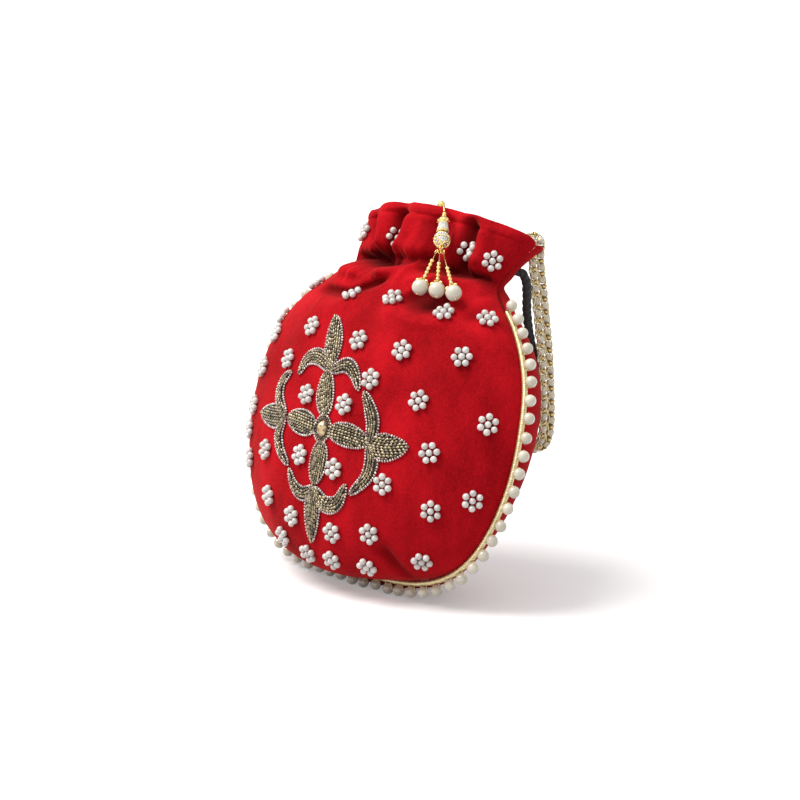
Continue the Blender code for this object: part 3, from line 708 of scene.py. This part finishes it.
def lining():
    """The inner bag, set in from both panels: one loop of cloth, front and then back."""
    rows, columns = 60, 160
    v, u = np.meshgrid(np.linspace(0, 1, rows), np.linspace(0, 1, columns), indexing="ij")
    s = LINING_START + v * (LINING_END - LINING_START)
    front = u < 0.5
    a = np.where(front, 4 * u - 1, 3 - 4 * u)
    point = np.where(front[..., None], panel_mm("front", s, a, False), panel_mm("back", s, a, False))
    edge = through(STATIONS, s)[..., 2]
    point[..., 0] *= LINING_SHARE
    point[..., 1] = edge + (point[..., 1] - edge) * (0.84 - 0.26 * smooth((s - 7.5) / 3.5))
    point[..., 2] *= LINING_SHARE
    heap = Heap()
    heap.add(world(point.reshape(-1, 3), 3.0), sheet_faces(rows, columns))
    heap.mesh("inner_lining", LINING, "bag", "lining_cloth", ("lining",))


lining()


# Seam trimmings

def braid():
    """Three gold strands twisted along the seam."""
    heap = Heap()
    for verts, faces in twisted(world(seam_line(BRAID_OUT)), 0.72 * MM, 0.82 * MM, 3.6 * MM, 3, 10):
        heap.add(verts, faces)
    heap.mesh("seam_cord", GOLD_THREAD, "bag", "gold_braid", ("seam_braid",))


def edging():
    """Pearls beside the braid, each held by two threads."""
    out = world(seam_line(BRAID_OUT + EDGE_PEARL_OUT))
    length = np.linalg.norm(np.diff(out, axis=0), axis=1).sum()
    places = even(out, count=int(round(length / (EDGE_PEARL_PITCH * MM))) + 1)
    inner = even(world(seam_line(BRAID_OUT)), count=4001)
    pearls, threads = Heap(), Heap()
    shape = ball(24, 14)
    size = (np.full(3, EDGE_PEARL / 2) - (0.0, 0.0, 0.05)) * MM
    for place, ahead in zip(places, frames(places)[0]):
        wobble = np.array([random.uniform(-1, 1) for _ in range(3)]) * 0.35 * MM
        base = inner[np.argmin(((inner - place) ** 2).sum(1))]
        away = unit(place - base)
        here = place + wobble
        pearls.put(shape, here, (ahead, unit(np.cross(ahead, away)), away), size * random.uniform(0.97, 1.03))
        for way in (-1, 1):
            line = [
                base + (ahead * way * 1.9 - away * 0.2) * MM,
                base + (ahead * way * 1.7 + away * 1.3) * MM,
                here + (ahead * way * 2.6 - away * 1.6) * MM,
                here + ahead * way * 2.9 * MM,
            ]
            threads.add(*tube(through(line, np.linspace(0, 3, 9)), 0.28 * MM, 5))
    pearls.mesh("edging_pearls", CREAM_PEARL, "bag", "cream_pearl", ("pearl_edging",))
    threads.mesh("edging_threads", GOLD_THREAD, "bag", "gold_braid")


braid()
edging()


# Pearl flowers

def flowers():
    """Seven pearls for each flower: one in the middle and six round it, all lying on the cloth."""
    heap = Heap()
    shape = ball(18, 11)
    for x, h in FLOWERS:
        middle, right, up, out = seat(x, h, 4.5)
        spin = math.radians(random.uniform(-14, 14) + 90)
        places = [(0.0, 0.0)] + [(random.uniform(*FLOWER_RING), spin + k * math.pi / 3) for k in range(6)]
        for r, t in places:
            point = middle + (right * math.cos(t) + up * math.sin(t)) * r * MM
            size = FLOWER_PEARL / 2 * random.uniform(0.96, 1.03) * MM
            here = drop(point, out) + out * (size * 0.92)
            heap.put(shape, here, (right, up, out), (size, size, size * 0.96))
    solids = [f"pearl_flower_{k + 1:02d}" for k in range(len(FLOWERS))]
    heap.mesh("flower_pearls", WHITE_PEARL, "bag", "white_pearl", solids)


flowers()


# Bead motif

SHAPE_STEPS = 121
OUTLINE_PITCH = 1.5
ROW_PITCH = 1.4
BUGLE_PITCH = 2.25
SEED_BEAD = ball(10, 6)
BUGLE_BEAD = turned(((-1.0, 0.72), (-0.86, 0.98), (0.0, 1.0), (0.86, 0.98), (1.0, 0.72)), 7)


def lay(heap, shape, x, h, way, rise, size):
    """A bead on the cloth at (across, height), turned along way."""
    place, out = on_cloth(x, h)
    ahead = on_cloth(x + way[0] * 0.6, h + way[1] * 0.6)[0] - place
    ahead = unit(ahead - out * (ahead @ out))
    ahead = unit(ahead + out * random.uniform(-0.16, 0.16))
    side = unit(np.cross(out, ahead))
    heap.put(shape, place + out * rise * MM, (side, np.cross(ahead, side), ahead), np.asarray(size) * MM)


def shape_lines(points, half, kind):
    """A motif shape's middle line, the way to its side and its half width, all along it."""
    t = np.linspace(0, 1, SHAPE_STEPS)
    line = through(points, t * (len(points) - 1))
    way = unit(np.gradient(line, axis=0))
    side = np.stack([-way[:, 1], way[:, 0]], -1)
    if kind == "petal":
        width = half * np.sin(math.pi * np.clip(t * 0.94 + 0.05, 0, 1)) ** 0.62
    elif kind == "leaf":
        width = half * np.sin(math.pi * np.clip(t, 0, 1) ** 0.8) ** 0.75
    else:
        width = half * (0.30 + 0.75 * np.sin(math.pi * t ** 0.75) ** 0.9)
        width = width * np.sqrt(np.clip((1 - t) * 9, 0, 1))
    return line, side, width


def sew(silver, bugle, pad, points, half, kind):
    """A motif shape: silver beads round it, rows of bugle beads in it and a dark ground under them."""
    line, side, width = shape_lines(points, half, kind)
    edge = np.concatenate([line + side * width[:, None], (line - side * width[:, None])[::-1]])
    if kind != "crescent":
        edge = np.concatenate([edge, edge[:1]])
    rim = even(edge, OUTLINE_PITCH)
    for (x, h), way in zip(rim, unit(np.gradient(rim, axis=0))):
        lay(silver, SEED_BEAD, x, h, way, 0.7, (0.76, 0.7, 0.68 * random.uniform(0.85, 1.08)))

    rows = int((half - 0.9) // ROW_PITCH)
    for k in range(-rows, rows + 1):
        off = k * ROW_PITCH
        keep = width > abs(off) + 1.05
        if keep.sum() < 4:
            continue
        run = even((line + side * off)[keep], BUGLE_PITCH)
        room = np.interp(np.linspace(0, 1, len(run)), np.linspace(0, 1, keep.sum()), width[keep])
        for (x, h), way, r in zip(run, unit(np.gradient(run, axis=0)), room):
            lean = (math.copysign(0.22, off) if k else 0.0) + random.uniform(-0.16, 0.16)
            cos, sin = math.cos(lean), math.sin(lean)
            leaning = (way[0] * cos - way[1] * sin, way[0] * sin + way[1] * cos)
            rise = 0.62 + 0.75 * max(1 - (off / max(r, 0.5)) ** 2, 0)
            lay(bugle, BUGLE_BEAD, x, h, leaning, rise, (0.64, 0.64, random.uniform(0.9, 1.12)))

    across = np.linspace(-1, 1, 9)
    pick = np.arange(0, SHAPE_STEPS, 5)
    ground = []
    for i in pick:
        for u in across:
            place, out = on_cloth(*(line[i] + side[i] * u * max(width[i] - 0.2, 0.1)))
            ground.append(place + out * (0.10 + 0.75 * (1 - u * u) * min(width[i] / half, 1)) * MM)
    pad.add(ground, sheet_faces(len(pick), len(across)))


def motif():
    """The beaded cross of petals, leaves and crescents, with the stone in its middle."""
    silver, bugle, pad = Heap(), Heap(), Heap()
    for kind, shapes in (("petal", PETALS), ("leaf", LEAVES), ("crescent", CRESCENTS)):
        for points, half in shapes:
            sew(silver, bugle, pad, points, half, kind)

    middle, *axes = seat(*STONE_PLACE, 5.0)
    right, up, out = axes
    for count, r, size, heap in ((26, 1.5, 0.7, silver), (20, 1.2, 0.55, bugle)):
        for k in range(count):
            t = 2 * math.pi * k / count
            point = middle + (right * math.cos(t) * 4.1 + up * math.sin(t) * 4.7) * r * MM
            heap.put(SEED_BEAD, drop(point, out) + out * 0.75 * MM, axes, np.full(3, size) * MM)
    silver.mesh("motif_outline", SILVER_BEAD, "bag", "bugle_bead")
    bugle.mesh(
        "motif_beads", BUGLE, "bag", "bugle_bead",
        ("motif_arm_top", "motif_arm_right", "motif_arm_bottom", "motif_arm_left"),
    )
    pad.mesh("motif_ground", PAD, "bag", "bugle_bead")

    gem, ring = Heap(), Heap()
    facets = ((0.0, 1.0), (0.35, 0.98), (0.9, 0.74), (1.3, 0.42), (1.34, 0.0001))
    gem.put(turned(facets, 8), middle + out * 0.6 * MM, axes, np.array([3.7, 4.5, 1.9]) * MM)
    gem.mesh("stone", STONE, "bag", "golden_stone", ("centre_stone",), flat=True)
    ring.put(torus(1.0, 0.11, 36, 8), middle + out * 0.9 * MM, axes, np.array([4.0, 4.8, 5.5]) * MM)
    ring.mesh("stone_rim", PAD, "bag", "bugle_bead")


motif()


# Latkan

def spindle():
    """The turned gold beads, the cone of seed beads and the ball set with crystals."""
    top, centre = world(LATKAN_TOP), world(LATKAN_BALL)
    reach = np.linalg.norm(centre - top) / MM
    axis = unit(centre - top)
    x = unit(np.cross(axis, (0.0, -1.0, 0.3)))
    y = np.cross(axis, x)
    axes = (x, y, axis)
    gold, white, crystal = Heap(), Heap(), Heap()
    seed = ball(8, 6)

    def spoke(turn):
        return x * math.cos(turn) + y * math.sin(turn)

    def bit(heap, profile, segments=24, lobes=0, lobe=0.0):
        heap.put(turned(profile, segments, lobes, lobe), top, axes)

    bit(gold, ((0.0, 0.3), (0.1, 0.9), (0.7, 1.15), (1.3, 0.9), (1.5, 0.55)))
    bit(gold, ((1.5, 0.6), (1.8, 1.2), (2.4, 1.25), (2.9, 0.9)))
    cap = (
        (2.9, 0.9), (3.3, 1.6), (4.2, 2.1), (4.3, 2.5), (5.4, 2.9), (5.5, 3.2), (6.3, 3.4), (6.6, 3.3),
        (6.6, 1.2),
    )
    bit(gold, cap, 40, 10, 0.06)
    bit(gold, ((6.5, 2.2), (6.7, 2.75), (7.2, 2.8), (7.5, 2.3)))
    bit(white, ((7.5, 1.9), (12.6, 2.6)), 20)
    bit(gold, ((12.5, 2.4), (12.6, 3.1), (13.1, 3.3), (13.5, 3.1), (13.6, 2.4)))
    for row in range(5):
        down = row * 1.02
        for k in range(12 + row):
            out = spoke(2 * math.pi * (k + 0.5 * (row % 2)) / (12 + row))
            place = top + (out * (2.0 + 0.145 * down) + axis * (7.95 + down)) * MM
            white.put(seed, place, axes, np.full(3, 0.56) * MM)

    crystal.put(ball(24, 14), centre, axes, np.full(3, BALL_RADIUS * 0.93) * MM)
    for row in range(1, 8):
        t = math.pi * (row + 0.25) / 8.6
        count = max(int(round(2 * math.pi * math.sin(t) * BALL_RADIUS / 1.28)), 4)
        for k in range(count):
            out = spoke(2 * math.pi * (k + 0.5 * (row % 2)) / count) * math.sin(t) - axis * math.cos(t)
            side = unit(np.cross(out, axis + 0.01 * x))
            place = centre + out * BALL_RADIUS * 0.97 * MM
            crystal.put(seed, place, (side, np.cross(out, side), out), np.array([0.56, 0.56, 0.45]) * MM)
    for k in range(6):
        line = []
        for t in np.linspace(0.10, 1.0, 12):
            down = math.pi * (0.98 - 0.50 * t)
            swing = 0.34 * math.sin(t * math.pi * 2) * (1 if k % 2 else -1)
            out = spoke(2 * math.pi * k / 6 + swing) * math.sin(down) - axis * math.cos(down)
            line.append(centre + out * (BALL_RADIUS + 0.25) * MM)
        gold.add(*tube(line, np.linspace(0.5, 0.30, 12) * MM, 6))
    for z, r, thick in ((3.3, 2.6, 0.32), (-3.2, 2.9, 0.34), (0.15, 4.35, 0.24)):
        gold.put(torus(r, thick, 28, 6), centre + axis * z * MM, axes)
    bit(gold, ((reach + 3.9, 1.3), (reach + 4.2, 1.5), (reach + 4.6, 1.1), (reach + 4.8, 0.4)))
    for z, turn in ((5.0, 0.0), (5.8, 1.2)):
        side = spoke(turn)
        loop = torus(1.15, 0.26, 18, 6)
        gold.put(loop, centre + axis * z * MM, (side, axis, np.cross(side, axis)), (MM, MM * 1.2, MM))
    gold.mesh("latkan_gold", GOLD, "latkan", "gold_bead", ("latkan_spindle",))
    white.mesh("latkan_seed_beads", WHITE_SEED, "latkan", "white_pearl")
    crystal.mesh("latkan_crystals", CRYSTAL, "latkan", "white_pearl")


def knot():
    """The knot on the rim, wound with wire, and the wire from it to the latkan's top."""
    bead, wire = Heap(), Heap()
    centre = world(KNOT_BEAD_PLACE)
    bead.put(ball(14, 8), centre, np.eye(3), np.full(3, KNOT_BEAD_RADIUS) * MM)
    for k in range(5):
        out = unit(np.array([math.sin(k * 2.1), math.cos(k * 1.3), math.sin(k * 0.9 + 1)]))
        side = unit(np.cross(out, (0.3, 0.2, 1.0)))
        wire.put(torus(KNOT_BEAD_RADIUS, 0.34, 22, 6), centre, (side, np.cross(out, side), out))
    bead.mesh("knot_bead", OLD_GOLD, "bag", "gold_bead", ("latkan_knot_bead",))
    rim = [KNOT_BEAD_PLACE, (16.0, -1.0, 115.2), (19.2, -3.0, 114.0), (21.2, -3.9, 111.5)]
    wire.add(*tube(world(through(rim, np.linspace(0, 3, 14))), 0.42 * MM, 6))
    wire.mesh("knot_wire", GOLD, "bag", "gold_bead")


def strand(body, k):
    """A wire with five gold beads, a flower-shaped cap and a drop pearl; k counts from the middle."""
    side = unit(np.array(DROP_SIDE))
    start = world(np.array(LATKAN_RING) + side * STRAND_TOP_PITCH * k)
    end = world(np.array(DROP_MIDDLE) + side * DROP_PITCH * k)
    way = unit(end - start)
    length = np.linalg.norm(end - start) / MM
    across = unit(np.cross(way, (0.0, -1.0, 0.2)))
    over = np.cross(way, across)
    axes = (across, over, way)
    gold, pearl = Heap(), Heap()
    pearl.put(ball(32, 20), end, axes, np.array([DROP_RADIUS, DROP_RADIUS, DROP_RADIUS - 0.05]) * MM)

    gold.add(*tube([start + way * 0.1 * MM, start + way * (length - 3.5) * MM], 0.28 * MM, 6))
    gold.put(torus(0.95, 0.24, 16, 6), start + way * 0.9 * MM, (across, way, -over), (MM, MM * 1.25, MM))
    last_bead = length - DROP_RADIUS - 1.4 - STRAND_BEAD_PITCH / 2
    for i in range(STRAND_BEADS):
        place = start + way * (last_bead - STRAND_BEAD_PITCH * (STRAND_BEADS - 1 - i)) * MM
        gold.put(ball(16, 10), place, axes, np.array([1.16, 1.16, 1.05]) * MM)
        gold.put(torus(0.55, 0.22, 12, 5), place + way * 1.24 * MM, axes)

    bell = [(-4.42 * math.cos(a), 4.42 * math.sin(a)) for a in np.linspace(0.12, 0.66, 7)]
    bell.append((-4.15 * math.cos(0.66), 4.15 * math.sin(0.66)))
    gold.put(turned(bell, 36, 6, 0.13), end, axes)
    collar = ((-1.4, 0.5), (-1.1, 0.95), (-0.5, 1.0), (-0.1, 1.5), (0.0, 0.3))
    gold.put(turned(collar, 16), end - way * DROP_RADIUS * MM, axes)
    for i in range(6):
        out = across * math.cos(math.pi * i / 3) + over * math.sin(math.pi * i / 3)
        line = []
        for t in np.linspace(0, 1, 7):
            down = 0.12 + 0.78 * t
            petal = out * math.sin(down) - way * math.cos(down)
            line.append(end + petal * 4.35 * (1 + 0.10 * t * t) * MM)
        gold.add(*tube(line, np.array([0.4, 0.62, 0.78, 0.82, 0.74, 0.5, 0.2]) * MM, 6))
    gold.put(ball(10, 6), end + way * 4.3 * MM, axes, np.array([0.6, 0.6, 0.4]) * MM)
    gold.mesh(body + "_gold", GOLD, body, "gold_bead", (body,))
    pearl.mesh(body + "_pearl", CREAM_PEARL, body, "cream_pearl")


spindle()
knot()
strand("strand_left", -1)
strand("strand_middle", 0)
strand("strand_right", 1)


# Handle band

def band_line():
    """The band's run, and at each point of it the ways ahead, across its width and through it."""
    rows = through(BAND_ROUTE, np.linspace(0, len(BAND_ROUTE) - 1, 800))
    line = (rows[:, :3] + (0.0, CENTRE_BACK, CENTRE_HEIGHT)) * MM
    run = even(line, count=800)
    near = [np.argmin(((line - p) ** 2).sum(1)) for p in run]
    flat = np.clip(rows[near, 3], 0, 1)[:, None]
    ahead = unit(np.gradient(run, axis=0))
    back = np.array([0.0, 1.0, 0.0])
    wide = back * (1 - flat) - unit(np.cross(ahead, back)) * flat
    wide = unit(wide - ahead * (wide * ahead).sum(1, keepdims=True))
    return run, ahead, wide, np.cross(ahead, wide)


def handle():
    """Two rows of pearls with gold seed beads between them, woven together with threads."""
    run, ahead, wide, thin = band_line()
    last = len(run) - 1
    length = np.linalg.norm(np.diff(run, axis=0), axis=1).sum() / MM
    pearls, gold, thread, peach, brown = Heap(), Heap(), Heap(), Heap(), Heap()
    pearl, seed = ball(16, 10), ball(10, 7)

    def at(mm):
        i = min(max(int(mm / length * last), 0), last)
        return run[i], ahead[i], wide[i], thin[i]

    for k in range(int(length // BAND_PITCH)):
        for way in (-1, 1):
            start = (k + 0.5 + 0.2 * way) * BAND_PITCH
            p, a, w, n = at(start)
            here = p + (w * way * BAND_ROW + n * random.uniform(-0.3, 0.3)) * MM
            pearls.put(pearl, here, (a, w, n), np.full(3, 1.95 * random.uniform(0.95, 1.04)) * MM)
            p, a, w, n = at(start + BAND_PITCH / 2)
            middle = p + w * way * BAND_ROW * MM
            for side in range(4):
                turn = side * math.pi / 2 + 0.4
                here = middle + (w * math.cos(turn) + n * math.sin(turn)) * 0.95 * MM
                gold.put(seed, here, (a, w, n), np.array([0.85, 0.8, 0.8]) * MM)
            for shift in (-1.05, 1.05):
                brown.put(torus(1.15, 0.34, 14, 6), middle + a * shift * MM, (w, n, a))
            p, a, w, n = at(start)
            for side in (-1, 1):
                here = p + w * (way * BAND_ROW + side * 1.95) * MM + n * random.uniform(-0.4, 0.4) * MM
                peach.put(seed, here, (a, w, n), np.array([1.25, 0.42, 0.7]) * MM)

    turns = np.arange(len(run)) / last * length * 2 * math.pi / BAND_PITCH

    def weave(sway, lift, radius):
        part = run + (wide * sway[:, None] + thin * lift[:, None]) * MM
        thread.add(*tube(part[::2], radius * MM, 5))

    for offset, phase in ((-4.7, 0.0), (-0.85, 1.6), (0.85, 4.7), (4.7, 3.1)):
        for over in (-1, 1):
            weave(offset + 0.45 * np.sin(turns + phase), over * (0.5 + 0.25 * np.cos(turns + phase)), 0.36)
    for way in (-1, 1):
        for over in (-1, 1):
            sway = way * (BAND_ROW + 2.1 * np.cos(turns - 0.4 * math.pi * way + over * 0.4))
            weave(sway, np.full(len(run), over * 0.95), 0.26)
    pearls.mesh("handle_pearls", CREAM_PEARL, "bag", "cream_pearl", ("handle_band",))
    gold.mesh("handle_gold_beads", OLD_GOLD, "bag", "gold_bead")
    thread.mesh("handle_threads", GOLD_THREAD, "bag", "gold_braid")
    peach.mesh("handle_peach_thread", PEACH, "bag", "gold_braid")
    brown.mesh("handle_brown_thread", BROWN_THREAD, "bag", "gold_braid")


handle()


# Drawstring

def drawstring():
    """The cord of three twisted strands, and its knot of three thick turns."""
    rows = world(through(CORD_ROUTE, np.linspace(0, len(CORD_ROUTE) - 1, 300)))
    line = even(rows, 0.6 * MM)
    heap = Heap()
    for verts, faces in twisted(line, 1.0 * MM, 1.55 * MM, 10.0 * MM, 3, 14):
        heap.add(verts, faces)
    cord = heap.mesh("drawstring_cord", BLACK, "bag", "black_cord", ("drawstring",))
    centre = np.mean(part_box("drawstring_knot"), axis=0)
    turns = Heap()
    for out in ((1.0, 0.2, 0.3), (0.1, 1.0, 0.4), (0.5, -0.6, 1.0)):
        out = unit(out)
        side = unit(np.cross(out, (0.3, 0.5, 1.0)))
        turns.put(torus(1.75, 1.5, 24, 10), centre, (side, np.cross(out, side), out))
    end = turns.mesh("drawstring_end", BLACK, "bag", "black_cord", ("drawstring_knot",))


drawstring()


# Camera, floor and light

VIEW_AZIMUTH, VIEW_ELEVATION = math.radians(49.0), math.radians(11.0)
VIEW_DISTANCE = 1.2
FLOOR_REACH = 30.0


def seen(tree):
    """1 for rays that show the background: from the camera, off glossy things and through glass."""
    path = tree.nodes.new("ShaderNodeLightPath")
    both = path.outputs["Is Camera Ray"]
    for name in ("Is Glossy Ray", "Is Transmission Ray"):
        most = tree.nodes.new("ShaderNodeMath")
        most.operation = "MAXIMUM"
        tree.links.new(both, most.inputs[0])
        tree.links.new(path.outputs[name], most.inputs[1])
        both = most.outputs[0]
    return both


def grey(value):
    return (value, value, value)


def camera():
    """The photograph's view: from the bag's right front, a little above."""
    cos = math.cos(VIEW_ELEVATION)
    ahead = Vector((-math.sin(VIEW_AZIMUTH) * cos, math.cos(VIEW_AZIMUTH) * cos, -math.sin(VIEW_ELEVATION)))
    made = placed("camera", bpy.data.cameras.new("camera"))
    made.location = Vector((0.0, CENTRE_BACK, CENTRE_HEIGHT)) * MM - ahead * VIEW_DISTANCE
    made.rotation_euler = ahead.to_track_quat("-Z", "Y").to_euler()
    made.data.lens, made.data.sensor_width = 103.0, 36.0
    made.data.shift_x, made.data.shift_y = 0.021, 0.0241
    bpy.context.scene.camera = made


def sun(name, azimuth, height, strength, angle, colour=(1.0, 1.0, 1.0)):
    """A soft lamp; azimuth counts from the front to the right, like the camera's."""
    made = placed(name, bpy.data.lights.new(name, "SUN"))
    a, e = math.radians(azimuth), math.radians(height)
    back = Vector((math.sin(a) * math.cos(e), -math.cos(a) * math.cos(e), math.sin(e)))
    made.rotation_euler = (-back).to_track_quat("-Z", "Y").to_euler()
    made.data.energy = strength
    made.data.angle = math.radians(angle)
    made.data.color = colour


def sky():
    """Soft light, stronger from above, and a white background."""
    made = bpy.data.worlds.new("studio")
    bpy.context.scene.world = made
    made.use_nodes = True
    tree = made.node_tree
    back = tree.nodes["Background"]
    place = tree.nodes.new("ShaderNodeTexCoord")
    split = tree.nodes.new("ShaderNodeSeparateXYZ")
    tree.links.new(place.outputs["Generated"], split.inputs["Vector"])
    shade = ramp(tree, split.outputs["Z"], ((0.0, (0.24, 0.24, 0.25)), (1.0, grey(0.84))))
    mix = tree.nodes.new("ShaderNodeMixRGB")
    mix.inputs["Color2"].default_value = (1.0, 1.0, 1.0, 1.0)
    tree.links.new(seen(tree), mix.inputs["Fac"])
    tree.links.new(shade.outputs["Color"], mix.inputs["Color1"])
    tree.links.new(mix.outputs["Color"], back.inputs["Color"])
    back.inputs["Strength"].default_value = 1.0


def studio_floor():
    """A white floor that keeps the bag's shadow and throws little light back on it."""
    r = FLOOR_REACH
    mesh = bpy.data.meshes.new("floor")
    mesh.from_pydata([(-r, -r, 0), (r, -r, 0), (r, r, 0), (-r, r, 0)], [], [(0, 1, 2, 3)])
    floor = placed("floor", mesh)
    made, shader = principled("floor_white", grey(0.84), 0.9, Specular_IOR_Level=0.1)
    tree = made.node_tree
    shown = seen(tree)
    shade = ramp(tree, shown, ((0.0, grey(0.5)), (1.0, grey(0.84))))
    tree.links.new(shade.outputs["Color"], shader.inputs["Base Color"])
    glow = ramp(tree, shown, ((0.0, grey(0.0)), (1.0, grey(0.26))))
    tree.links.new(glow.outputs["Color"], shader.inputs["Emission Color"])
    shader.inputs["Emission Strength"].default_value = 1.0
    mesh.materials.append(made)


bpy.context.scene.view_settings.view_transform = "Standard"
camera()
sun("key", -34.0, 59.0, 3.1, 40.0, (1.0, 0.985, 0.96))
sun("fill", 10.0, 20.0, 0.2, 60.0)
sky()
studio_floor()
